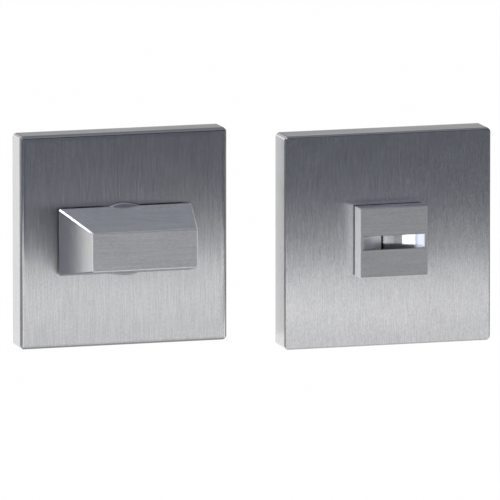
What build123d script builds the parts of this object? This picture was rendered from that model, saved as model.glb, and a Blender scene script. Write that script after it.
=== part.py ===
from build123d import *
import os

# Square thumb turn and outside release for a toilet door, in brushed stainless steel, millimetres.
# Fronts face -Y and +Z is up. The turn half's spindle crosses its door face at the origin.
# The release half stands beside it as in a display, to the right and a step nearer to the viewer.
# Heights below are measured from a half's door face towards its front.

# Rose, shared by both halves
rose_side = 55.0
rose_height = 8.0
rose_corner = 1.2
rose_edge = 0.6
cover_front = 1.5
cover_wall = 1.2
hole_gap = 0.3
notch_width = 6.0
notch_depth = 1.0

# Where the release half stands beside the turn half
row_gap = 9.4
row_step = 19.3

# Backplate
plate_gap = 0.3
plate_corner = 0.3
plate_floor = 2.0
plate_rim = 2.0
rib_thickness = 1.6
web_wall = 1.5
skin_gap = 0.1
lug_wall = 1.8
lug_reach = 6.0
wood_screw_inset = 8.0
wood_screw_hole = 4.2
wood_screw_head = 8.0
wood_screw_angle = 90.0

# Leaf clips that hold the cover on the plate
clip_length = 11.0
clip_height = 3.6
clip_thickness = 0.3
clip_notch = 1.0
clip_side_gap = 0.5
clip_crest_gap = 0.05
clip_low = 1.2
clip_count = 4

# Journal, bush and what retains them
journal_diameter = 12.0
running_gap = 0.05
axial_play = 0.05
bush_wall = 1.4
bush_flange = 0.8
bush_flange_lip = 1.2
pocket_gap = 1.6
thrust_washer_thickness = 0.5
thrust_washer_edge_gap = 0.4
spring_washer_height = 0.75
spring_washer_thickness = 0.3
circlip_thickness = 0.9
circlip_width = 1.9
circlip_setback = 0.2
circlip_gap = 3.0
circlip_ear = 2.6
circlip_ear_hole = 1.1
groove_depth = 0.25
journal_end = 0.6
tail_step = 1.0

# Thumb turn
turn_collar_lip = 3.4
knob_gap = 1.2
knob_depth = 18.4
knob_length = 35.2
knob_height = 17.2
knob_front_length = 27.8
knob_front_height = 10.0
knob_edge = 0.4
turn_spigot_wall = 1.6
turn_spigot_length = 3.0
turn_tail = 7.0
spindle_side = 5.0
spindle_gap = 0.05
spindle_end_gap = 0.3
spindle_reach = 50.0
spindle_chamfer = 0.6
grub_diameter = 3.0
grub_gap = 0.02
grub_socket = 1.5
grub_socket_depth = 1.2

# Release
button_side = 18.0
button_depth = 5.0
button_gap = 0.4
button_edge = 0.3
slot_end_wall = 0.8
slot_height = 3.5
slot_floor = 1.1
release_collar_lip = 1.8
release_spigot_wall = 2.5
release_spigot_length = 0.7
release_tail = 8.0
socket_gap = 0.1
socket_depth = 14.0

# Fixings through the door
fixing_inset = 7.0
fixing_seat = 2.6
head_gap = 0.4
bolt_diameter = 4.0
bolt_gap = 0.2
bolt_neck_step = 0.25
bolt_head_lip = 1.8
bolt_head_height = 2.2
bolt_edge = 0.4
bolt_reach = 35.0
recess_width = 0.9
recess_length = 4.4
recess_depth = 1.3
thread_pitch = 0.7
sleeve_wall = 1.0
sleeve_gap = 0.15
sleeve_head_lip = 1.3
sleeve_head_height = 1.6
sleeve_reach = 18.0
sleeve_bore_depth = 16.0
sleeve_slot_width = 1.0
sleeve_slot_depth = 0.9

# Cuts run past the faces that they open
overrun = 1.0

# Heights and widths that follow from the sizes above
turn_face = Plane.XZ
release_face = Plane(
    origin=(rose_side + row_gap, -row_step, 0), x_dir=(1, 0, 0), z_dir=(0, -1, 0)
)
cover_inside = rose_side - 2 * cover_wall
plate_side = cover_inside - 2 * plate_gap
wood_screw_pitch = plate_side - 2 * wood_screw_inset
fixing_pitch = plate_side - 2 * fixing_inset
plate_top = rose_height - cover_front
flange_front = plate_top - skin_gap
bush_seat = flange_front - bush_flange
shoulder = flange_front + axial_play
spring_back = circlip_setback + circlip_thickness + axial_play
thrust_back = spring_back + spring_washer_height
pocket_depth = thrust_back + thrust_washer_thickness
circlip_diameter = journal_diameter + 2 * circlip_width
pocket_diameter = circlip_diameter + 2 * pocket_gap
tail_diameter = journal_diameter - 2 * tail_step
bore_diameter = journal_diameter + 2 * running_gap
bush_diameter = bore_diameter + 2 * bush_wall
bush_flange_diameter = bush_diameter + 2 * bush_flange_lip
turn_collar_diameter = journal_diameter + 2 * turn_collar_lip
turn_spigot_diameter = knob_height - 2 * turn_spigot_wall
knob_back = rose_height + knob_gap
release_collar_diameter = journal_diameter + 2 * release_collar_lip
release_spigot_diameter = button_side - 2 * release_spigot_wall
slot_length = button_side - 2 * slot_end_wall
slot_depth = button_depth - slot_floor
socket_side = spindle_side + 2 * socket_gap
button_back = rose_height + button_gap
button_front = button_back + button_depth
bolt_head = bolt_diameter + 2 * bolt_head_lip
bolt_neck = bolt_diameter - 2 * bolt_neck_step
sleeve_diameter = bolt_diameter + 2 * sleeve_wall
sleeve_bore = bolt_diameter - thread_pitch
sleeve_head = sleeve_diameter + 2 * sleeve_head_lip


def save(piece, name):
    piece.part.label = name
    export_step(piece.part, f"parts/{name}.step")


def disc(face, low, high, diameter, mode=Mode.ADD):
    # A round step between two heights, added to or cut from the piece being built
    with BuildSketch(face.offset(low)) as section:
        Circle(diameter / 2)
    extrude(section.sketch, amount=high - low, mode=mode)


def square_cut(face, low, high, side):
    with BuildSketch(face.offset(low)) as section:
        Rectangle(side, side)
    extrude(section.sketch, amount=high - low, mode=Mode.SUBTRACT)


def fixing_places():
    # The two fixings stand one above the other, clear of the lock's case
    return Locations((0, fixing_pitch / 2), (0, -fixing_pitch / 2))


def wood_screw_places():
    return GridLocations(wood_screw_pitch, wood_screw_pitch, 2, 2)


def cover_rose(half, face, collar):
    # Pressed steel shell with softened front edges, a round hole and a lifting notch at the bottom
    with BuildPart() as cover:
        with BuildSketch(face):
            RectangleRounded(rose_side, rose_side, rose_corner)
        extrude(amount=rose_height)
        fillet(cover.faces().sort_by(Axis.Y)[0].edges(), rose_edge)
        with BuildSketch(face):
            Rectangle(cover_inside, cover_inside)
        extrude(amount=plate_top, mode=Mode.SUBTRACT)
        disc(face, plate_top, rose_height, collar + 2 * hole_gap, Mode.SUBTRACT)
        with BuildSketch(face):
            with Locations((0, -(rose_side - cover_wall) / 2)):
                Rectangle(notch_width, cover_wall + overrun)
        extrude(amount=notch_depth, mode=Mode.SUBTRACT)
    save(cover, f"{half}_cover_rose")


def backplate(half, face, bore, head):
    # Moulded plate: floor, rim under the cover, boss for the bush, bosses and lugs for the fixings
    head_wells = (
        (fixing_places, head / 2 + head_gap, fixing_seat),
        (wood_screw_places, wood_screw_head / 2 + head_gap, plate_floor),
    )
    with BuildPart() as plate:
        with BuildSketch(face):
            RectangleRounded(plate_side, plate_side, plate_corner)
        extrude(amount=plate_floor)
        with BuildSketch(face.offset(plate_floor)):
            RectangleRounded(plate_side, plate_side, plate_corner)
            Rectangle(plate_side - 2 * plate_rim, plate_side - 2 * plate_rim, mode=Mode.SUBTRACT)
        extrude(amount=plate_top - plate_floor)
        with BuildSketch(face.offset(plate_floor)):
            Rectangle(plate_side - plate_rim, rib_thickness)
            Rectangle(rib_thickness, plate_side - plate_rim)
            Rectangle(wood_screw_pitch * 2**0.5, rib_thickness, rotation=45)
            Rectangle(rib_thickness, wood_screw_pitch * 2**0.5, rotation=45)
        extrude(amount=bush_seat - plate_floor)
        disc(face, 0, bush_seat, pocket_diameter + 2 * web_wall)
        for places, well_radius, seat in head_wells:
            with BuildSketch(face):
                with places():
                    Circle(well_radius + web_wall)
            extrude(amount=plate_top - skin_gap)
        for places, well_radius, seat in head_wells:
            with BuildSketch(face.offset(seat)):
                with places():
                    Circle(well_radius)
            extrude(amount=plate_top - seat, mode=Mode.SUBTRACT)
        with BuildSketch(face):
            with fixing_places():
                Circle(bore / 2 + lug_wall)
        extrude(amount=-lug_reach)
        with BuildSketch(face.offset(-lug_reach)):
            with fixing_places():
                Circle(bore / 2)
        extrude(amount=lug_reach + fixing_seat, mode=Mode.SUBTRACT)
        disc(face, 0, pocket_depth, pocket_diameter, Mode.SUBTRACT)
        disc(face, pocket_depth, plate_top, bush_diameter, Mode.SUBTRACT)
        with BuildSketch(face):
            with PolarLocations((plate_side - clip_notch) / 2, clip_count):
                Rectangle(clip_notch, clip_length + 2 * clip_side_gap)
        extrude(amount=clip_low + clip_height + clip_side_gap, mode=Mode.SUBTRACT)
        with Locations(face.offset(plate_floor)):
            with wood_screw_places():
                CounterSinkHole(
                    wood_screw_hole / 2, wood_screw_head / 2, plate_floor + overrun, wood_screw_angle
                )
    save(plate, f"{half}_backplate")


def cover_clips(half, face):
    # Bowed leaf springs, one in each side's notch: ends on the notch's floor, crest on the cover
    floor_line = plate_side / 2 - clip_notch
    crest_line = cover_inside / 2 - clip_crest_gap
    with BuildSketch() as leaf:
        with BuildLine():
            outer_left = (-clip_length / 2, floor_line + clip_thickness)
            outer_right = (clip_length / 2, floor_line + clip_thickness)
            inner_left = (-clip_length / 2, floor_line)
            inner_right = (clip_length / 2, floor_line)
            ThreePointArc(outer_left, (0, crest_line), outer_right)
            Line(outer_right, inner_right)
            ThreePointArc(inner_right, (0, crest_line - clip_thickness), inner_left)
            Line(inner_left, outer_left)
        make_face()
    with BuildPart() as clips:
        with BuildSketch(face.offset(clip_low)):
            with PolarLocations(0, clip_count):
                add(leaf.sketch)
        extrude(amount=clip_height)
    save(clips, f"{half}_cover_clips")


def bush(half, face):
    # Flanged nylon bush, pressed into the plate's boss from the front
    with BuildPart() as liner:
        disc(face, pocket_depth, flange_front, bush_diameter)
        disc(face, bush_seat, flange_front, bush_flange_diameter)
        disc(face, pocket_depth, flange_front, bore_diameter, Mode.SUBTRACT)
    save(liner, f"{half}_bush")


def thrust_washer(half, face):
    with BuildPart() as washer:
        disc(face, thrust_back, pocket_depth, pocket_diameter - 2 * thrust_washer_edge_gap)
        disc(face, thrust_back, pocket_depth, bore_diameter, Mode.SUBTRACT)
    save(washer, f"{half}_thrust_washer")


def spring_washer(half, face):
    # Cupped washer: its outer rim bears on the thrust washer and its inner rim on the circlip
    inner = bore_diameter / 2
    outer = circlip_diameter / 2
    slope = spring_washer_height - spring_washer_thickness
    profile_plane = Plane(origin=face.origin, x_dir=face.x_dir, z_dir=-face.y_dir)
    with BuildPart() as washer:
        with BuildSketch(profile_plane):
            with BuildLine():
                Polyline(
                    (inner, spring_back),
                    (outer, spring_back + slope),
                    (outer, spring_back + spring_washer_height),
                    (inner, spring_back + spring_washer_thickness),
                    close=True,
                )
            make_face()
        revolve(axis=Axis(face.origin, face.z_dir))
    save(washer, f"{half}_spring_washer")


def circlip(half, face):
    # External circlip: open ring in the journal's groove, with an ear on each side of its gap
    groove = journal_diameter - 2 * groove_depth
    outer = circlip_diameter
    ear_radius = outer / 2 - circlip_ear / 4
    ear_offset = (circlip_gap + circlip_ear) / 2
    with BuildPart() as ring:
        with BuildSketch(face.offset(circlip_setback)):
            Circle(outer / 2)
            with Locations((0, -outer / 4)):
                Rectangle(circlip_gap, outer / 2 + overrun, mode=Mode.SUBTRACT)
            with Locations((ear_offset, -ear_radius), (-ear_offset, -ear_radius)):
                Circle(circlip_ear / 2)
                Circle(circlip_ear_hole / 2, mode=Mode.SUBTRACT)
            Circle(groove / 2, mode=Mode.SUBTRACT)
        extrude(amount=circlip_thickness)
    save(ring, f"{half}_circlip")


def turned(face, collar, collar_front, spigot, spigot_front, tail):
    # The turned steps that both journals share, with the circlip's groove
    disc(face, shoulder, collar_front, collar)
    disc(face, collar_front, spigot_front, spigot)
    disc(face, -journal_end, shoulder, journal_diameter)
    disc(face, -tail, -journal_end, tail_diameter)
    with BuildSketch(face.offset(circlip_setback)) as groove:
        Circle(journal_diameter / 2 + overrun)
        Circle(journal_diameter / 2 - groove_depth, mode=Mode.SUBTRACT)
    extrude(groove.sketch, amount=circlip_thickness, mode=Mode.SUBTRACT)


def turn_neck():
    # Collar and journal behind the knob, bored square for the spindle, with a tapped hole on top
    spigot_front = knob_back + turn_spigot_length
    grub_plane = Plane(origin=turn_face.offset(-turn_tail / 2).origin, x_dir=(1, 0, 0), z_dir=(0, 0, 1))
    with BuildPart() as neck:
        turned(
            turn_face, turn_collar_diameter, knob_back,
            turn_spigot_diameter, spigot_front, turn_tail,
        )
        square_cut(turn_face, -turn_tail, spigot_front, spindle_side + 2 * spindle_gap)
        with BuildSketch(grub_plane):
            Circle(grub_diameter / 2 + grub_gap)
        extrude(amount=tail_diameter / 2, mode=Mode.SUBTRACT)
    save(neck, "turn_neck")

    with BuildPart() as grub:
        with BuildSketch(grub_plane.offset(spindle_side / 2)):
            Circle(grub_diameter / 2)
        extrude(amount=(tail_diameter - spindle_side) / 2 - grub_gap)
        with BuildSketch(grub_plane.offset(tail_diameter / 2)):
            RegularPolygon(grub_socket / 2, 6, major_radius=False)
        extrude(amount=-grub_socket_depth, mode=Mode.SUBTRACT)
    save(grub, "turn_spindle_screw")


def turn_knob():
    # Block that tapers on all four sides to a smaller front
    with BuildPart() as knob:
        with BuildSketch(turn_face.offset(knob_back)):
            Rectangle(knob_length, knob_height)
        with BuildSketch(turn_face.offset(knob_back + knob_depth)):
            Rectangle(knob_front_length, knob_front_height)
        loft()
        fillet(knob.edges(), knob_edge)
        disc(turn_face, knob_back, knob_back + turn_spigot_length, turn_spigot_diameter, Mode.SUBTRACT)
    save(knob, "turn_knob")


def turn_spindle():
    front = knob_back + turn_spigot_length - spindle_end_gap
    with BuildPart() as spindle:
        with BuildSketch(turn_face.offset(-spindle_reach)):
            Rectangle(spindle_side, spindle_side)
        extrude(amount=spindle_reach + front)
        ends = spindle.faces().filter_by(Axis.Y)
        chamfer(ends.edges(), spindle_chamfer)
    save(spindle, "turn_spindle")


def release_hub():
    # Journal of the release, with a square socket open at the back for the spindle's far end
    spigot_front = button_back + release_spigot_length
    with BuildPart() as hub:
        turned(
            release_face, release_collar_diameter, button_back,
            release_spigot_diameter, spigot_front, release_tail,
        )
        square_cut(release_face, -release_tail, socket_depth - release_tail, socket_side)
    save(hub, "release_hub")


def release_button():
    # Low square block with a coin slot whose floor is an arc, as a disc cutter leaves it
    half_chord = slot_length / 2
    cutter_radius = (half_chord**2 + slot_depth**2) / (2 * slot_depth)
    cutter_height = button_front + cutter_radius - slot_depth
    cutter_plane = Plane(origin=release_face.origin, x_dir=(1, 0, 0), z_dir=(0, 0, 1))
    with BuildPart() as button:
        with BuildSketch(release_face.offset(button_back)):
            Rectangle(button_side, button_side)
        extrude(amount=button_depth)
        fillet(button.edges(), button_edge)
        with BuildSketch(cutter_plane):
            with Locations((0, -cutter_height)):
                Circle(cutter_radius)
        extrude(amount=slot_height / 2, both=True, mode=Mode.SUBTRACT)
        disc(
            release_face, button_back, button_back + release_spigot_length,
            release_spigot_diameter, Mode.SUBTRACT,
        )
    save(button, "release_button")


def fixing_screws():
    # Two M4 bolts with cross recesses: heads in the turn plate's bosses, slim necks in its lugs
    with BuildPart() as screws:
        with BuildSketch(turn_face.offset(fixing_seat)):
            with fixing_places():
                Circle(bolt_head / 2)
        extrude(amount=bolt_head_height)
        fillet(screws.faces().group_by(Axis.Y)[0].edges(), bolt_edge)
        with BuildSketch(turn_face.offset(-bolt_reach)):
            with fixing_places():
                Circle(bolt_diameter / 2)
        extrude(amount=bolt_reach - lug_reach)
        chamfer(screws.faces().group_by(Axis.Y)[-1].edges(), bolt_edge)
        with BuildSketch(turn_face.offset(-lug_reach)):
            with fixing_places():
                Circle(bolt_neck / 2)
        extrude(amount=lug_reach + fixing_seat)
        with BuildSketch(turn_face.offset(fixing_seat + bolt_head_height)):
            with fixing_places():
                Rectangle(recess_length, recess_width)
                Rectangle(recess_width, recess_length)
        extrude(amount=-recess_depth, mode=Mode.SUBTRACT)
    save(screws, "fixing_screws")


def release_sleeve_nuts():
    # Two M4 sleeve nuts: slotted heads in the release plate's bosses, tapped from the door's side
    with BuildPart() as nuts:
        with BuildSketch(release_face.offset(fixing_seat)):
            with fixing_places():
                Circle(sleeve_head / 2)
        extrude(amount=sleeve_head_height)
        with BuildSketch(release_face.offset(-sleeve_reach)):
            with fixing_places():
                Circle(sleeve_diameter / 2)
        extrude(amount=sleeve_reach + fixing_seat)
        chamfer(nuts.faces().group_by(Axis.Y)[-1].edges(), bolt_edge)
        with BuildSketch(release_face.offset(-sleeve_reach)):
            with fixing_places():
                Circle(sleeve_bore / 2)
        extrude(amount=sleeve_bore_depth, mode=Mode.SUBTRACT)
        with BuildSketch(release_face.offset(fixing_seat + sleeve_head_height)):
            with fixing_places():
                Rectangle(sleeve_head + overrun, sleeve_slot_width)
        extrude(amount=-sleeve_slot_depth, mode=Mode.SUBTRACT)
    save(nuts, "release_sleeve_nuts")


os.makedirs("parts", exist_ok=True)
halves = (
    ("turn", turn_face, turn_collar_diameter, bolt_diameter + 2 * bolt_gap, bolt_head),
    ("release", release_face, release_collar_diameter, sleeve_diameter + 2 * sleeve_gap, sleeve_head),
)
for half, face, collar, bore, head in halves:
    cover_rose(half, face, collar)
    backplate(half, face, bore, head)
    cover_clips(half, face)
    bush(half, face)
    thrust_washer(half, face)
    spring_washer(half, face)
    circlip(half, face)
turn_neck()
turn_knob()
turn_spindle()
fixing_screws()
release_hub()
release_button()
release_sleeve_nuts()
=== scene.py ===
import bpy
import math
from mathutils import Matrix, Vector


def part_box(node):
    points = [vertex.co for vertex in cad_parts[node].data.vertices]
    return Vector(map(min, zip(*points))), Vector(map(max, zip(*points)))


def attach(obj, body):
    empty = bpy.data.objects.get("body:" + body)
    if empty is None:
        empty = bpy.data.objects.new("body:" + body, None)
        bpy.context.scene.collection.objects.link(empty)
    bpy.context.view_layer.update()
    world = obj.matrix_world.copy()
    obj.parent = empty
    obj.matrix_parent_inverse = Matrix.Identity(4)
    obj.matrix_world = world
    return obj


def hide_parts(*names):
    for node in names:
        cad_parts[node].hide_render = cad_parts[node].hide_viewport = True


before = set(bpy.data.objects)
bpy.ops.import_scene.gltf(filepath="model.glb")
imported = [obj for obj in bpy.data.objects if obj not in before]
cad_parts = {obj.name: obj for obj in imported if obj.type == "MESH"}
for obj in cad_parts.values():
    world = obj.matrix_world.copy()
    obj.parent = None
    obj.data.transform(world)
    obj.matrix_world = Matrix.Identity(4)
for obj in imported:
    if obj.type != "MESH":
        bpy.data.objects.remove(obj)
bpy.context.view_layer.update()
mm = 0.001
hair = mm / 100  # the slack in a test of where something lies
roundSides = 96
smoothAngle = 28
bodies = {"turn": "thumb_turn", "release": "coin_release", "fixed": "roses"}
print("frame loaded:", len(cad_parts), "nodes")


# Shader sockets and nodes

class Link:
    # A socket that can be used in sums: each sum adds its Math node
    def __init__(self, tree, socket):
        self.tree = tree
        self.socket = socket

    def sum(self, operation, first, second):
        node = self.tree.nodes.new("ShaderNodeMath")
        node.operation = operation
        for place, value in enumerate((first, second)):
            if isinstance(value, Link):
                self.tree.links.new(value.socket, node.inputs[place])
            else:
                node.inputs[place].default_value = value
        return Link(self.tree, node.outputs[0])

    def __add__(self, other):
        return self.sum("ADD", self, other)

    def __radd__(self, other):
        return self.sum("ADD", other, self)

    def __sub__(self, other):
        return self.sum("SUBTRACT", self, other)

    def __rsub__(self, other):
        return self.sum("SUBTRACT", other, self)

    def __mul__(self, other):
        return self.sum("MULTIPLY", self, other)


class Shader:
    # One node tree, and one way to make a node in it
    def __init__(self, tree):
        self.tree = tree
        tree.nodes.clear()

    def node(self, kind, settings=None, inputs=None, output=0):
        node = self.tree.nodes.new("ShaderNode" + kind)
        for key, value in (settings or {}).items():
            setattr(node, key, value)
        for key, value in (inputs or {}).items():
            if isinstance(value, Link):
                self.tree.links.new(value.socket, node.inputs[key])
            else:
                node.inputs[key].default_value = value
        return Link(self.tree, node.outputs[output])

    def place(self, scale=(1, 1, 1)):
        # Object coordinates, scaled for a pattern
        spot = self.node("TexCoord", output="Object")
        return self.node("Mapping", inputs={"Vector": spot, "Scale": scale})

    def noise(self, spot, scale, detail, roughness):
        return self.node("TexNoise", inputs={
            "Vector": spot, "Scale": scale, "Detail": detail, "Roughness": roughness})

    def tint(self, mask, low, high):
        return self.node("Mix", {"data_type": "RGBA"}, {0: mask, 6: (*low, 1.0), 7: (*high, 1.0)}, output=2)

    def out(self, shader, kind="OutputMaterial"):
        self.tree.links.new(shader.socket, self.tree.nodes.new("ShaderNode" + kind).inputs[0])


def newMaterial(name):
    material = bpy.data.materials.new(name)
    material.use_nodes = True
    return material, Shader(material.node_tree)


def brushedSteel(name, look):
    # Streaks of the brush in colour, roughness and relief, over a slow cloudiness
    material, s = newMaterial(name)

    def along(length, width):
        # Stretches a pattern along the grain
        return s.place(tuple(1 / look[length if axis == look["grain"] else width] for axis in "XYZ"))

    streaks = s.noise(along("streakLength", "streakWidth"), 1.0, detail=4.0, roughness=0.62)
    fine = s.noise(along("scratchLength", "scratchWidth"), 1.0, detail=2.0, roughness=0.5)
    cloud = s.noise(s.place(), 1 / look["cloudSize"], detail=2.0, roughness=0.5)
    grain = streaks * 0.5 + fine * 0.5
    mask = (grain - 0.5) * look["grainContrast"] + (cloud - 0.5) * look["cloudContrast"] + 0.5
    colour = s.tint(mask, look["dark"], look["light"])
    roughness = look["roughness"] + (grain - 0.5) * look["roughnessSpread"]
    bump = s.node("Bump", inputs={
        "Strength": look["bumpStrength"], "Distance": look["bumpDepth"], "Height": grain})
    s.out(s.node("BsdfPrincipled", inputs={
        "Base Color": colour, "Metallic": 1.0, "Roughness": roughness, "Normal": bump,
        "Anisotropic": look["anisotropy"], "Anisotropic Rotation": look["turn"],
        "Specular Tint": (*look["grazing"], 1.0)}))
    return material


def turnedSteel(name, look):
    # Lathe-turned or drawn metal: fine rings or lines, rubbed brighter here and there
    material, s = newMaterial(name)
    lines = s.noise(s.place(look["lines"]), 1.0, detail=3.0, roughness=0.6)
    cloud = s.noise(s.place(), 1 / look["cloudSize"], detail=4.0, roughness=0.6)
    mask = (lines - 0.5) * look["lineContrast"] + (cloud - 0.5) * look["cloudContrast"] + 0.5
    colour = s.tint(mask, look["dark"], look["light"])
    roughness = look["roughness"] + (cloud - 0.5) * look["roughnessSpread"]
    bump = s.node("Bump", inputs={
        "Strength": look["bumpStrength"], "Distance": look["bumpDepth"], "Height": lines})
    s.out(s.node("BsdfPrincipled", inputs={
        "Base Color": colour, "Metallic": 1.0, "Roughness": roughness, "Normal": bump}))
    return material


def mouldedPlastic(name, look):
    # Spark-eroded mould texture with slight sink marks
    material, s = newMaterial(name)
    grit = s.noise(s.place(), 1 / look["gritSize"], detail=3.0, roughness=0.6)
    sink = s.noise(s.place(), 1 / look["sinkSize"], detail=2.0, roughness=0.5)
    colour = s.tint(grit * 0.5 + sink * 0.5, look["dark"], look["light"])
    roughness = look["roughness"] + (grit - 0.5) * look["roughnessSpread"]
    bump = s.node("Bump", inputs={
        "Strength": look["bumpStrength"], "Distance": look["bumpDepth"], "Height": grit})
    s.out(s.node("BsdfPrincipled", inputs={
        "Base Color": colour, "Roughness": roughness, "Normal": bump,
        "Subsurface Weight": look["glow"], "Subsurface Radius": (mm, mm, mm)}))
    return material


# Brushed steel. Grain X lies level and grain Z upright, and turn sets which way the shine spreads
steelLook = {
    "streakWidth": 0.22 * mm, "scratchLength": 0.7 * mm, "scratchWidth": 0.16 * mm,
    "cloudSize": 9 * mm, "cloudContrast": 0.25, "roughnessSpread": 0.06,
    "bumpStrength": 0.3, "bumpDepth": 0.002 * mm, "grazing": (0.7, 0.7, 0.72)}
levelLook = {
    **steelLook, "grain": "X", "streakLength": 14 * mm, "grainContrast": 1.7, "roughness": 0.42,
    "anisotropy": 0.85, "turn": 0.25, "dark": (0.38, 0.38, 0.385), "light": (0.68, 0.68, 0.68)}
# Corners: a near-white, smoother copy of the level steel, a painted highlight along the corner facets
cornerHighlightLook = {
    **levelLook, "roughness": 0.18, "anisotropy": 0.0, "dark": (0.86, 0.86, 0.86),
    "light": (0.98, 0.98, 0.98), "grazing": (1.0, 1.0, 1.0)}


def steelsOf(owner, base, looks):
    # One steel for each side of a piece, from what differs from the base or from the side that it is like.
    # The sides' lighter and darker copies are painted light and shade
    whole = {}
    for side, look in looks.items():
        whole[side] = {**whole.get(look.get("like"), base), **look}
    return {side: brushedSteel(owner + side[0].upper() + side[1:], look) for side, look in whole.items()}


# Modelling helpers

def clearSelection():
    if bpy.context.object and bpy.context.object.mode != "OBJECT":
        bpy.ops.object.mode_set(mode="OBJECT")
    bpy.ops.object.select_all(action="DESELECT")


def boxOf(node):
    low, high = (Vector(corner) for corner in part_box(node))
    return low, high


def block(name, centre, size):
    # A cube at its size and place, with its place in its mesh
    clearSelection()
    bpy.ops.mesh.primitive_cube_add(size=1.0, location=centre)
    piece = bpy.context.object
    piece.name = name
    piece.data.name = name
    piece.scale = size
    bpy.ops.object.transform_apply(location=True, rotation=True, scale=True)
    return piece


def bevelled(piece, test, offset, steps):
    # Rounds the edges whose two ends pass the test
    bpy.ops.object.mode_set(mode="OBJECT")
    mesh = piece.data
    for part in (mesh.vertices, mesh.edges, mesh.polygons):
        part.foreach_set("select", [False] * len(part))
    for edge in mesh.edges:
        first, second = (mesh.vertices[i].co for i in edge.vertices)
        edge.select = test(first, second)
    bpy.ops.object.mode_set(mode="EDIT")
    bpy.ops.mesh.select_mode(type="EDGE")
    bpy.ops.mesh.bevel(offset=offset, segments=steps, profile=0.5)
    bpy.ops.object.mode_set(mode="OBJECT")


def applied(piece, kind, **settings):
    # Adds a modifier and applies it
    clearSelection()
    piece.select_set(True)
    bpy.context.view_layer.objects.active = piece
    modifier = piece.modifiers.new(kind.title(), kind)
    for key, value in settings.items():
        setattr(modifier, key, value)
    bpy.ops.object.modifier_apply(modifier=modifier.name)


def cutWith(piece, cutter):
    applied(piece, "BOOLEAN", operation="DIFFERENCE", object=cutter, solver="EXACT")
    bpy.data.objects.remove(cutter)


def cylinder(centre, radius, depth, sides, turn=(0, 0, 0)):
    # A round cutter, along Z unless it is turned
    clearSelection()
    bpy.ops.mesh.primitive_cylinder_add(vertices=sides, radius=radius, depth=depth, location=centre,
                                        rotation=turn)
    cutter = bpy.context.object
    bpy.ops.object.transform_apply(location=True, rotation=True, scale=True)
    return cutter


def turnedPiece(name, centre, steps, sides=roundSides):
    # A piece as a lathe turns it about Y: each step is a place along Y and the radius there
    clearSelection()
    place, radius = steps[0]
    bpy.ops.mesh.primitive_circle_add(vertices=sides, radius=radius, fill_type="NGON",
                                      location=(centre.x, place, centre.z), rotation=(math.pi / 2, 0, 0))
    piece = bpy.context.object
    piece.name = name
    piece.data.name = name
    bpy.ops.object.transform_apply(location=True, rotation=True, scale=True)
    bpy.ops.object.mode_set(mode="EDIT")
    bpy.ops.mesh.select_all(action="SELECT")
    for nextPlace, nextRadius in steps[1:]:
        bpy.ops.mesh.extrude_region_move(TRANSFORM_OT_translate={"value": (0, nextPlace - place, 0)})
        grow = nextRadius / radius
        bpy.ops.transform.resize(value=(grow, 1, grow), center_override=(centre.x, nextPlace, centre.z))
        place, radius = nextPlace, nextRadius
    bpy.ops.mesh.select_all(action="SELECT")
    bpy.ops.mesh.normals_make_consistent(inside=False)
    bpy.ops.object.mode_set(mode="OBJECT")
    return piece


def roundedEdge(place, radius, edge, count=6):
    # Steps round a turned edge, from the front face at the place to the side at the radius
    turns = [math.pi / 2 * step / count for step in range(count + 1)]
    return [(place + edge * (1 - math.cos(turn)), radius - edge * (1 - math.sin(turn))) for turn in turns]


def joined(pieces):
    clearSelection()
    for piece in pieces:
        piece.select_set(True)
    bpy.context.view_layer.objects.active = pieces[0]
    bpy.ops.object.join()
    return pieces[0]


# How far a face's normal leans, to count as a corner, with its painted highlight, or as the front's edge,
# with its painted shade
sideLimits = {"corner": 0.38, "cornerFront": 0.5, "frontEdge": 0.3}


def finished(piece, steels):
    # Gives each face the steel of the side that it looks to, each side in its own lighter or darker copy as
    # painted light and shade, and tells the slot of each steel
    for steel in steels.values():
        piece.data.materials.append(steel)
    slots = {side: slot for slot, side in enumerate(steels)}
    for face in piece.data.polygons:
        facing = {"front": -face.normal.y, "end": abs(face.normal.x), "top": abs(face.normal.z)}
        side = max(facing, key=facing.get)
        beside = (facing["end"], facing["top"])
        if ("corner" in steels and min(beside) > sideLimits["corner"]
                and facing["front"] < sideLimits["cornerFront"]):
            side = "corner"
        elif "frontEdge" in steels and min(facing["front"], max(beside)) > sideLimits["frontEdge"]:
            side = "frontEdge"
        face.material_index = slots[side]
    return slots


def dressed(piece, body, slotName, *nodes):
    # Smooths a finished piece, gives it its body and hides the nodes that it stands for
    clearSelection()
    piece.select_set(True)
    bpy.context.view_layer.objects.active = piece
    bpy.ops.object.shade_smooth_by_angle(angle=math.radians(smoothAngle))
    applied(piece, "WEIGHTED_NORMAL", keep_sharp=True, weight=100)
    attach(piece, body)
    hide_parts(*nodes)


# Cover roses: pressed shells with an upright grain

roseLook = {
    **steelLook, "grain": "Z", "streakLength": 6 * mm, "grainContrast": 2.0, "roughness": 0.235,
    "anisotropy": 0.96, "turn": 0.0, "dark": (0.42, 0.425, 0.435), "light": (0.77, 0.77, 0.775)}
roseSettings = {
    "edge": 0.55 * mm, "edgeSteps": 6, "corner": 1.155 * mm, "cornerSteps": 8,
    "front": 1.5 * mm, "wall": 1.2 * mm, "holeGap": 0.12 * mm,
    "notchWidth": 6 * mm, "notchDepth": 1.0 * mm,
    # Copies of the rose steel by side: the ends painted lighter, the top darker as painted shade, the
    # corners a painted highlight and the front's edge a dark painted shade
    "looks": {
        "front": {},
        "end": {"dark": (0.62, 0.62, 0.62), "light": (0.92, 0.92, 0.91), "grazing": (1.0, 1.0, 1.0)},
        "top": {"anisotropy": 0.3, "dark": (0.35, 0.355, 0.36), "light": (0.60, 0.605, 0.615)},
        "corner": cornerHighlightLook,
        "frontEdge": {"anisotropy": 0.0, "dark": (0.20, 0.20, 0.20), "light": (0.34, 0.34, 0.335)}}}
roseSteels = steelsOf("rose", roseLook, roseSettings["looks"])


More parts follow.
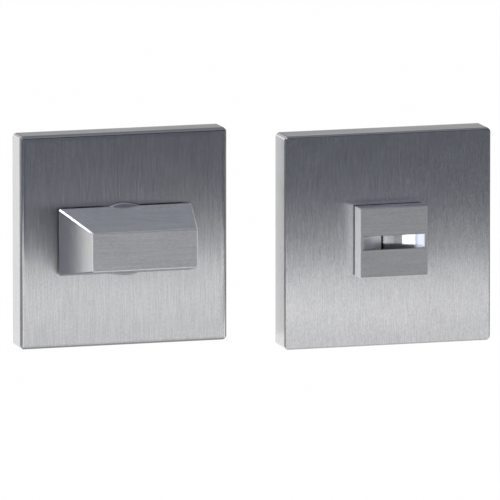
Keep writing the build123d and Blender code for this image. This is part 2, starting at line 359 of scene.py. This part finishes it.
def coverRose(half, shaft):
    # The hole clears the shaft, the node that comes through the rose
    r = roseSettings
    node = f"{half}_cover_rose"
    low, high = boxOf(node)
    middle = (low + high) / 2
    size = high - low
    rose = block(f"{half}Rose", middle, size)
    bevelled(rose, lambda a, b: abs((a - b).y) > size.y / 2, r["corner"], r["cornerSteps"])
    bevelled(rose, lambda a, b: max(a.y, b.y) < low.y + hair, r["edge"], r["edgeSteps"])
    cutWith(rose, block("hollow", middle + Vector((0, r["front"], 0)),
                        (size.x - 2 * r["wall"], size.y, size.z - 2 * r["wall"])))
    cutWith(rose, block("notch", Vector((middle.x, high.y, low.z)),
                        (r["notchWidth"], 2 * r["notchDepth"], 4 * r["wall"])))
    shaftLow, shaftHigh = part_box(shaft)
    hole = (shaftHigh[0] - shaftLow[0]) / 2 + r["holeGap"]
    cutWith(rose, cylinder(middle, hole, 3 * size.y, roundSides, (math.pi / 2, 0, 0)))
    finished(rose, roseSteels)
    dressed(rose, bodies["fixed"], "rose_steel", node)


coverRose("turn", "turn_neck")
coverRose("release", "release_hub")
print("roses made")


# Thumb turn's knob: a block that tapers to its front, with a painted highlight at its right and painted
# shade below

knobSettings = {
    "frontLength": 27.8 * mm, "frontHeight": 10.0 * mm, "backLength": 35.2 * mm, "backHeight": 17.2 * mm,
    "edge": 0.34 * mm, "edgeSteps": 1, "frontEdge": 0.32 * mm, "frontSteps": 3,
    "slant": 0.3, "rightFrom": 0.2, "rightTo": 0.95,  # limits of a face's normal
    # Copies of the knob steel by side: the ends and top painted lighter, the corners and right edges a
    # painted highlight, the faces below a painted shade
    "looks": {
        "front": {},
        "end": {"grain": "Z", "roughness": 0.22, "anisotropy": 0.7, "turn": 0.0,
                "dark": (0.64, 0.64, 0.65), "light": (1.0, 1.0, 1.0), "grazing": (0.08, 0.08, 0.08)},
        "top": {"streakWidth": 1.3 * mm, "scratchWidth": 0.9 * mm, "roughness": 0.24, "anisotropy": 0.3,
                "dark": (0.58, 0.575, 0.545), "light": (0.93, 0.92, 0.875)},
        "corner": cornerHighlightLook,
        "rightEdge": {"like": "end", "roughness": 0.6, "anisotropy": 0.0, "dark": (0.92, 0.92, 0.91),
                      "light": (1.0, 1.0, 0.99), "grazing": (1.0, 1.0, 1.0)},
        "rightFront": {"like": "rightEdge", "dark": (0.72, 0.72, 0.72), "light": (0.80, 0.80, 0.80)},
        "under": {"like": "top", "dark": (0.30, 0.30, 0.33), "light": (0.44, 0.44, 0.48)}}}


def thumbKnob():
    k = knobSettings
    low, high = boxOf("turn_knob")
    middle = (low + high) / 2
    depth = high.y - low.y
    knob = block("turnKnob", middle, (k["backLength"], depth, k["backHeight"]))
    for vertex in knob.data.vertices:
        if vertex.co.y < middle.y:
            vertex.co.x *= k["frontLength"] / k["backLength"]
            vertex.co.z *= k["frontHeight"] / k["backHeight"]
    bevelled(knob, lambda a, b: abs((a - b).y) > depth / 2, k["edge"], k["edgeSteps"])
    bevelled(knob, lambda a, b: max(a.y, b.y) < low.y + hair, k["frontEdge"], k["frontSteps"])
    slots = finished(knob, steelsOf("knob", levelLook, k["looks"]))
    # Faces below take the painted shade and faces towards the right the painted highlight
    for face in knob.data.polygons:
        if face.normal.z < -k["slant"]:
            face.material_index = slots["under"]
        elif k["rightFrom"] < face.normal.x < k["rightTo"]:
            face.material_index = slots["rightEdge" if face.normal.z > k["slant"] else "rightFront"]
    dressed(knob, bodies["turn"], "knob_steel", "turn_knob")


thumbKnob()
print("knob made")


# Neck behind the knob, with the rounded collar that shows above and below it

neckSettings = {
    "collarEdge": 0.2 * mm, "collarDepth": 2.6 * mm, "journal": 6.0 * mm, "journalEnd": 0.6 * mm,
    "tail": 5.0 * mm, "edge": 0.3 * mm, "spigot": 7.0 * mm, "spigotLength": 3.0 * mm,
    "grooveFrom": 0.2 * mm, "grooveWidth": 0.9 * mm, "grooveDepth": 0.25 * mm, "square": 5.1 * mm,
    "tapped": 1.52 * mm, "tappedPlace": 3.5 * mm, "tappedSides": 48,
    "look": {**levelLook, "streakLength": 3 * mm, "dark": (0.40, 0.405, 0.41),
             "light": (0.62, 0.625, 0.635)}}


def thumbNeck():
    n = neckSettings
    low, high = boxOf("turn_neck")
    centre = (low + high) / 2
    collar = (high.x - low.x) / 2
    front = low.y + n["spigotLength"]
    grooveBack = -n["grooveFrom"]
    grooveFront = grooveBack - n["grooveWidth"]
    neck = turnedPiece("turnNeck", centre, [
        (low.y, n["spigot"]),
        (front, n["spigot"]),
        *roundedEdge(front, collar, n["collarEdge"]),
        (front + n["collarDepth"], collar),
        (front + n["collarDepth"], n["journal"]),
        (grooveFront, n["journal"]),
        (grooveFront, n["journal"] - n["grooveDepth"]),
        (grooveBack, n["journal"] - n["grooveDepth"]),
        (grooveBack, n["journal"]),
        (n["journalEnd"], n["journal"]),
        (n["journalEnd"], n["tail"]),
        (high.y - n["edge"], n["tail"]),
        (high.y, n["tail"] - n["edge"]),
    ])
    cutWith(neck, block("bore", centre, (n["square"], 2 * (high.y - low.y), n["square"])))
    tappedCentre = (centre.x, n["tappedPlace"], centre.z + n["tail"])
    cutWith(neck, cylinder(tappedCentre, n["tapped"], 2 * n["tail"], n["tappedSides"]))
    neck.data.materials.append(brushedSteel("collarSteel", n["look"]))
    dressed(neck, bodies["turn"], "knob_steel", "turn_neck")


thumbNeck()
print("neck made")


# Turned, drawn and plated steel, and plastics

drawnLook = {"lineContrast": 0.7, "cloudContrast": 0.8, "roughnessSpread": 0.2, "bumpStrength": 0.3}
plasticLook = {"roughnessSpread": 0.25, "bumpStrength": 0.4}
neckSteel = turnedSteel("neckSteel", {
    **drawnLook, "lines": (300, 5000, 300), "cloudSize": 5 * mm, "dark": (0.46, 0.47, 0.49),
    "light": (0.66, 0.67, 0.69), "roughness": 0.30, "bumpDepth": 0.006 * mm})
spindleSteel = turnedSteel("spindleSteel", {
    **drawnLook, "lines": (4500, 120, 4500), "cloudSize": 7 * mm, "dark": (0.42, 0.43, 0.44),
    "light": (0.66, 0.67, 0.68), "roughness": 0.32, "bumpDepth": 0.006 * mm})
springSteel = turnedSteel("springSteel", {
    **drawnLook, "lines": (2500, 2500, 2500), "cloudSize": 4 * mm, "dark": (0.10, 0.10, 0.105),
    "light": (0.27, 0.27, 0.28), "roughness": 0.34, "bumpDepth": 0.004 * mm})
zincSteel = turnedSteel("zincSteel", {
    **drawnLook, "lines": (1500, 1500, 1500), "cloudSize": 3 * mm, "dark": (0.55, 0.56, 0.53),
    "light": (0.78, 0.79, 0.76), "roughness": 0.28, "bumpDepth": 0.004 * mm})
plateMoulding = mouldedPlastic("plateMoulding", {
    **plasticLook, "gritSize": 0.25 * mm, "sinkSize": 9 * mm, "dark": (0.018, 0.018, 0.02),
    "light": (0.045, 0.045, 0.048), "roughness": 0.45, "bumpDepth": 0.02 * mm, "glow": 0.0})
bushNylon = mouldedPlastic("bushNylon", {
    **plasticLook, "gritSize": 0.3 * mm, "sinkSize": 5 * mm, "dark": (0.66, 0.64, 0.57),
    "light": (0.80, 0.78, 0.71), "roughness": 0.38, "bumpDepth": 0.01 * mm, "glow": 0.2})


# Bolts through the door, with rolled threads

boltSettings = {
    "sides": 48, "radius": 2.0 * mm, "neck": 1.75 * mm, "root": 1.6 * mm,
    "headHeight": 2.2 * mm, "headEdge": 0.4 * mm, "chamfer": 0.4 * mm,
    "recessLength": 4.4 * mm, "recessWidth": 0.9 * mm, "recessDepth": 1.3 * mm,
    "threadFrom": 6.0 * mm, "pitch": 0.7 * mm, "crest": 0.09 * mm, "threadFoot": 0.98,
    "threadSteps": 28, "threadMerge": 0.001 * mm}


def fixingBolt(centre, head, front, end):
    b = boltSettings
    seat = front + b["headHeight"]
    bolt = turnedPiece("fixingBolt", centre, [
        *roundedEdge(front, head, b["headEdge"]),
        (seat, head),
        (seat, b["neck"]),
        (b["threadFrom"], b["neck"]),
        (b["threadFrom"], b["root"]),
        (end - b["chamfer"], b["root"]),
        (end, b["root"] - b["chamfer"]),
    ], b["sides"])
    for size in ((b["recessLength"], b["recessWidth"]), (b["recessWidth"], b["recessLength"])):
        cutWith(bolt, block("recess", Vector((centre.x, front, centre.z)),
                            (size[0], 2 * b["recessDepth"], size[1])))
    # One turn's section, swept into the whole thread and sunk in the core
    clearSelection()
    bpy.ops.mesh.primitive_plane_add(size=b["pitch"], location=(0, 0, 0))
    thread = bpy.context.object
    thread.name = "thread"
    foot = b["pitch"] / 2 * b["threadFoot"]
    inner = b["root"] - b["crest"]
    for vertex in thread.data.vertices:
        outside = vertex.co.x > 0
        side = math.copysign(b["crest"] if outside else foot, vertex.co.y)
        vertex.co = (b["radius"] if outside else inner, side, 0)
    turns = int((end - b["chamfer"] - b["threadFrom"]) / b["pitch"]) - 1
    applied(thread, "SCREW", axis="Y", screw_offset=b["pitch"], iterations=turns,
            steps=b["threadSteps"], render_steps=b["threadSteps"],
            use_merge_vertices=True, merge_threshold=b["threadMerge"])
    bpy.ops.object.mode_set(mode="EDIT")
    bpy.ops.mesh.select_all(action="SELECT")
    bpy.ops.mesh.fill_holes(sides=4)
    bpy.ops.mesh.normals_make_consistent(inside=False)
    bpy.ops.object.mode_set(mode="OBJECT")
    thread.location = (centre.x, b["threadFrom"] + b["pitch"], centre.z)
    bpy.ops.object.transform_apply(location=True, rotation=True, scale=True)
    return joined([bolt, thread])


def fixingBolts():
    low, high = boxOf("fixing_screws")
    head = (high.x - low.x) / 2
    middle = (low.x + high.x) / 2
    bolts = joined([fixingBolt(Vector((middle, 0, z)), head, low.y, high.y)
                    for z in (low.z + head, high.z - head)])
    bolts.name = "fixingBolts"
    bolts.data.materials.append(zincSteel)
    dressed(bolts, bodies["fixed"], "fixing_steel", "fixing_screws")


fixingBolts()
print("bolts made")


# Release button. A round cutter makes the coin slot, so that its floor is an arc

buttonSettings = {
    "edge": 0.25 * mm, "edgeSteps": 5, "slotHeight": 3.5 * mm, "slotLength": 16.4 * mm,
    "slotDepth": 3.9 * mm, "slotSides": 256, "slotEdge": 0.2 * mm, "slotSteps": 2,
    "wall": 0.7, "lineFrom": 0.17, "floorEndFrom": 0.215, "shade": 0.15,  # limits of a face's normal
    "shadeDepth": 0.375 * mm,
    # Copies of the button steel by side: the ends near-white and the top lighter as painted light, the slot
    # floor near-white as a painted highlight, the line steel near-black as painted shade
    "looks": {
        "front": {"streakLength": 9 * mm, "dark": (0.33, 0.33, 0.33), "light": (0.55, 0.55, 0.55)},
        "end": {"grain": "Z", "turn": 0.0, "roughness": 0.62, "anisotropy": 0.0,
                "dark": (0.92, 0.92, 0.91), "light": (1.0, 1.0, 0.99), "grazing": (1.0, 1.0, 1.0)},
        "top": {"streakWidth": 1.3 * mm, "scratchWidth": 0.9 * mm, "roughness": 0.45, "anisotropy": 0.3,
                "dark": (0.52, 0.525, 0.53), "light": (0.76, 0.765, 0.77)},
        "floor": {"streakLength": 3 * mm, "grainContrast": 0.8, "roughness": 0.11,
                  "roughnessSpread": 0.02, "bumpStrength": 0.1, "anisotropy": 0.9,
                  "dark": (0.84, 0.84, 0.85), "light": (0.96, 0.96, 0.96), "grazing": (1.0, 1.0, 1.0)},
        "wall": {"like": "floor", "roughness": 0.16, "anisotropy": 0.0, "dark": (0.62, 0.62, 0.63),
                 "light": (0.80, 0.80, 0.80), "grazing": (0.8, 0.8, 0.8)},
        "floorEnd": {"like": "floor", "roughness": 0.42, "anisotropy": 0.0},
        "line": {"like": "floor", "dark": (0.03, 0.03, 0.032), "light": (0.08, 0.08, 0.082),
                 "grazing": (0.3, 0.3, 0.3)}}}


def releaseButton():
    b = buttonSettings
    low, high = boxOf("release_button")
    middle = (low + high) / 2
    button = block("releaseButton", middle, high - low)
    bevelled(button, lambda first, second: True, b["edge"], b["edgeSteps"])
    halfChord = b["slotLength"] / 2
    radius = (halfChord ** 2 + b["slotDepth"] ** 2) / (2 * b["slotDepth"])
    slotCentre = (middle.x, low.y + b["slotDepth"] - radius, middle.z)
    cutWith(button, cylinder(slotCentre, radius, b["slotHeight"], b["slotSides"]))

    def inSlot(spot):
        return (abs(spot.x - middle.x) < halfChord + hair
                and abs(spot.z - middle.z) < b["slotHeight"] / 2 + hair)

    def onRim(first, second):
        return all(inSlot(spot) and spot.y < low.y + hair for spot in (first, second))

    bevelled(button, onRim, b["slotEdge"], b["slotSteps"])
    slots = finished(button, steelsOf("button", levelLook, b["looks"]))
    for face in button.data.polygons:
        # The rounding beside the rose takes the near-black line steel, a painted shade, and so does the
        # line that crosses the slot, a painted dark reflection
        if face.normal.y > b["shade"] and face.center.y > high.y - b["shadeDepth"]:
            face.material_index = slots["line"]
        # In the slot the floor takes its near-white copy, a painted highlight
        if inSlot(face.center) and low.y + b["slotEdge"] < face.center.y < low.y + b["slotDepth"] + hair:
            if abs(face.normal.z) > b["wall"]:
                side = "wall"
            elif face.normal.x > b["floorEndFrom"]:
                side = "floorEnd"
            else:
                side = "line" if face.normal.x > b["lineFrom"] else "floor"
            face.material_index = slots[side]
    dressed(button, bodies["release"], "button_steel", "release_button")


releaseButton()
print("button made")


# Finishes of the pieces that stay as the frame gives them

nodeFinish = {
    neckSteel: ("release_hub",),
    spindleSteel: ("turn_spindle",),
    springSteel: ("turn_circlip", "release_circlip", "turn_spring_washer", "release_spring_washer",
                  "turn_cover_clips", "release_cover_clips", "turn_spindle_screw"),
    zincSteel: ("release_sleeve_nuts",),
    plateMoulding: ("turn_backplate", "release_backplate"),
    bushNylon: ("turn_bush", "release_bush", "turn_thrust_washer", "release_thrust_washer"),
}
for material, names in nodeFinish.items():
    for name in names:
        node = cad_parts[name]
        node.data.materials.clear()
        node.data.materials.append(material)
print("finishes given")


# Floor, surroundings, lamps and camera

floorSettings = {
    "drop": 0.35, "side": 24.0, "front": -0.3, "white": 1.02, "whiteShare": 0.96,
    "paperScale": 30.0, "dark": (0.86, 0.86, 0.86), "light": (0.90, 0.90, 0.90), "roughness": 0.8}
# Brightness by direction, and the spans of a direction's X, Y or Z over which one passes into the next
worldSettings = {
    "camera": 1.0, "behind": 1.0, "front": 0.16, "left": 1.0, "right": 0.38, "above": 0.62,
    "aboveBehind": 0.45, "below": 0.6, "flag": 0.01, "frontHigh": 0.03, "frontTint": (0.92, 0.96, 1.15),
    "backSpan": (-0.15, 0.4), "frontSpan": (0.3, 0.5), "frontHighSpan": (-0.02, 0.12),
    "leftSpan": (0.72, 0.92), "rightSpan": (0.66, 0.72), "aboveSpan": (0.25, 0.5),
    "aboveBehindSpan": (0.0, 0.3), "belowSpan": (0.45, 0.8), "flagFrom": (0.52, 0.55),
    "flagTo": (0.66, 0.69)}
white = (1.0, 1.0, 1.0)
tableTint = (1.0, 0.99, 0.96)
# A bright table below and in front with dimmer far and side parts, a card beside the release, a soft key
lampSettings = {
    "tableNear": {"position": (0.065, -0.0848, -0.045), "target": (0.065, -0.0848, 1.0),
                  "size": (0.31, 0.1305), "watts": 0.0941, "colour": tableTint},
    "tableMiddle": {"position": (0.065, -0.1975, -0.045), "target": (0.065, -0.1975, 1.0),
                    "size": (0.31, 0.095), "watts": 0.0865, "colour": tableTint},
    "tableFar": {"position": (0.155, -0.278, -0.045), "target": (0.155, -0.278, 1.0),
                 "size": (0.13, 0.066), "watts": 0.0073, "colour": white},
    "tableSide": {"position": (0.292, -0.131, -0.045), "target": (0.292, -0.131, 1.0),
                  "size": (0.096, 0.223), "watts": 0.0215, "colour": white},
    "sideCard": {"position": (0.015, -0.13, -0.021), "target": (1.0, -0.13, -0.021),
                 "size": (0.12, 0.028), "watts": 0.0115, "colour": white},
    "key": {"position": (-0.55, -0.75, 0.70), "target": (0.03, 0, 0),
            "size": (0.30, 0.30), "watts": 2.0, "colour": white}}
cameraSettings = {
    "azimuth": -16.68, "elevation": 9.3, "distance": 3.5, "frameWidth": 127.7 * mm,
    "right": 34.4 * mm, "up": -4.1 * mm, "clip": (0.1, 60.0)}


def aimed(thing, position, target):
    thing.location = position
    thing.rotation_mode = "QUATERNION"
    thing.rotation_quaternion = (Vector(target) - Vector(position)).to_track_quat("-Z", "Y")


def rays(s, *kinds):
    # Rays of these kinds, as the light path tells them
    seen = s.node("LightPath", output=f"Is {kinds[0]} Ray")
    for kind in kinds[1:]:
        seen = seen + s.node("LightPath", output=f"Is {kind} Ray")
    return seen


def floor():
    # Paper that takes the shadow, white to the camera and in what metal and glass show
    f = floorSettings
    clearSelection()
    middle = f["side"] / 2 + f["front"]
    bpy.ops.mesh.primitive_plane_add(size=f["side"], location=(0, middle, -f["drop"]))
    plane = bpy.context.object
    plane.name = "floor"
    material, s = newMaterial("floorPaper")
    paper = s.noise(s.place(), f["paperScale"], detail=4.0, roughness=0.5)
    colour = s.tint(paper, f["dark"], f["light"])
    lit = s.node("BsdfPrincipled", inputs={"Base Color": colour, "Roughness": f["roughness"]})
    glow = s.node("Emission", inputs={"Color": (*white, 1.0), "Strength": f["white"]})
    share = rays(s, "Camera", "Glossy", "Transmission") * f["whiteShare"]
    s.out(s.node("MixShader", inputs={0: share, 1: lit, 2: glow}))
    plane.data.materials.append(material)


def surroundings():
    # White to the camera, behind and on the left, dark in front, grey overhead and below
    w = worldSettings
    world = bpy.data.worlds.new("studio")
    bpy.context.scene.world = world
    world.use_nodes = True
    s = Shader(world.node_tree)
    split = s.node("SeparateXYZ", inputs={0: s.node("TexCoord", output="Generated")}).socket.node
    x, y, z = (Link(s.tree, split.outputs[axis]) for axis in "XYZ")

    def rise(value, span):
        return s.node("MapRange", {"interpolation_type": "SMOOTHSTEP"}, {
            "Value": value, "From Min": w[span][0], "From Max": w[span][1]})

    def blend(share, low, high):
        return (1 - share) * low + share * high

    back = rise(y, "backSpan")
    front = blend(rise(x, "rightSpan"), w["front"], w["right"])
    front = blend(rise(z, "frontHighSpan"), front, w["frontHigh"])
    front = blend(rise(x * -1, "leftSpan"), front, w["left"])
    front = blend(rise(z, "aboveSpan"), front, w["above"])
    behind = blend(rise(z, "aboveBehindSpan"), w["behind"], w["aboveBehind"])
    level = blend(back, front, blend(rise(x, "rightSpan"), behind, w["right"]))
    # A narrow black flag stands at the right side's near edge, where the slot mirrors it
    flag = rise(x, "flagFrom") * (1 - rise(x, "flagTo")) * rise(y * -1, "frontSpan")
    level = blend(flag, level, w["flag"])
    level = blend(rise(z * -1, "belowSpan"), level, w["below"])
    # The camera sees white all round, metal and glass see it straight behind
    straight = back * (1 - rise(z, "aboveBehindSpan")) * (1 - rise(x, "rightSpan"))
    seen = rays(s, "Camera") + rays(s, "Glossy", "Transmission") * straight
    tint = s.tint(back + seen, w["frontTint"], white)
    s.out(s.node("Background", inputs={"Color": tint, "Strength": blend(seen, level, w["camera"])}),
          "OutputWorld")


def lamp(name, position, target, size, watts, colour):
    data = bpy.data.lights.new(name, "AREA")
    data.shape = "RECTANGLE"
    data.size, data.size_y = size
    data.energy = watts
    data.color = colour
    thing = bpy.data.objects.new(name, data)
    bpy.context.collection.objects.link(thing)
    aimed(thing, position, target)
    thing.visible_camera = False


def studioCamera():
    # A long lens that looks at a point given across and up in its own picture
    c = cameraSettings
    azimuth, elevation = math.radians(c["azimuth"]), math.radians(c["elevation"])
    back = Vector((math.sin(azimuth) * math.cos(elevation), -math.cos(azimuth) * math.cos(elevation),
                   math.sin(elevation)))
    right = Vector((math.cos(azimuth), math.sin(azimuth), 0))
    up = back.cross(right)
    target = right * c["right"] + up * c["up"]
    data = bpy.data.cameras.new("camera")
    camera = bpy.data.objects.new("camera", data)
    bpy.context.collection.objects.link(camera)
    aimed(camera, target + back * c["distance"], target)
    data.lens = data.sensor_width * c["distance"] / c["frameWidth"]
    data.clip_start, data.clip_end = c["clip"]
    bpy.context.scene.camera = camera


floor()
surroundings()
studioCamera()
for name, settings in lampSettings.items():
    lamp(name, **settings)

scene = bpy.context.scene
scene.view_settings.view_transform = "Standard"
print("stage ready")
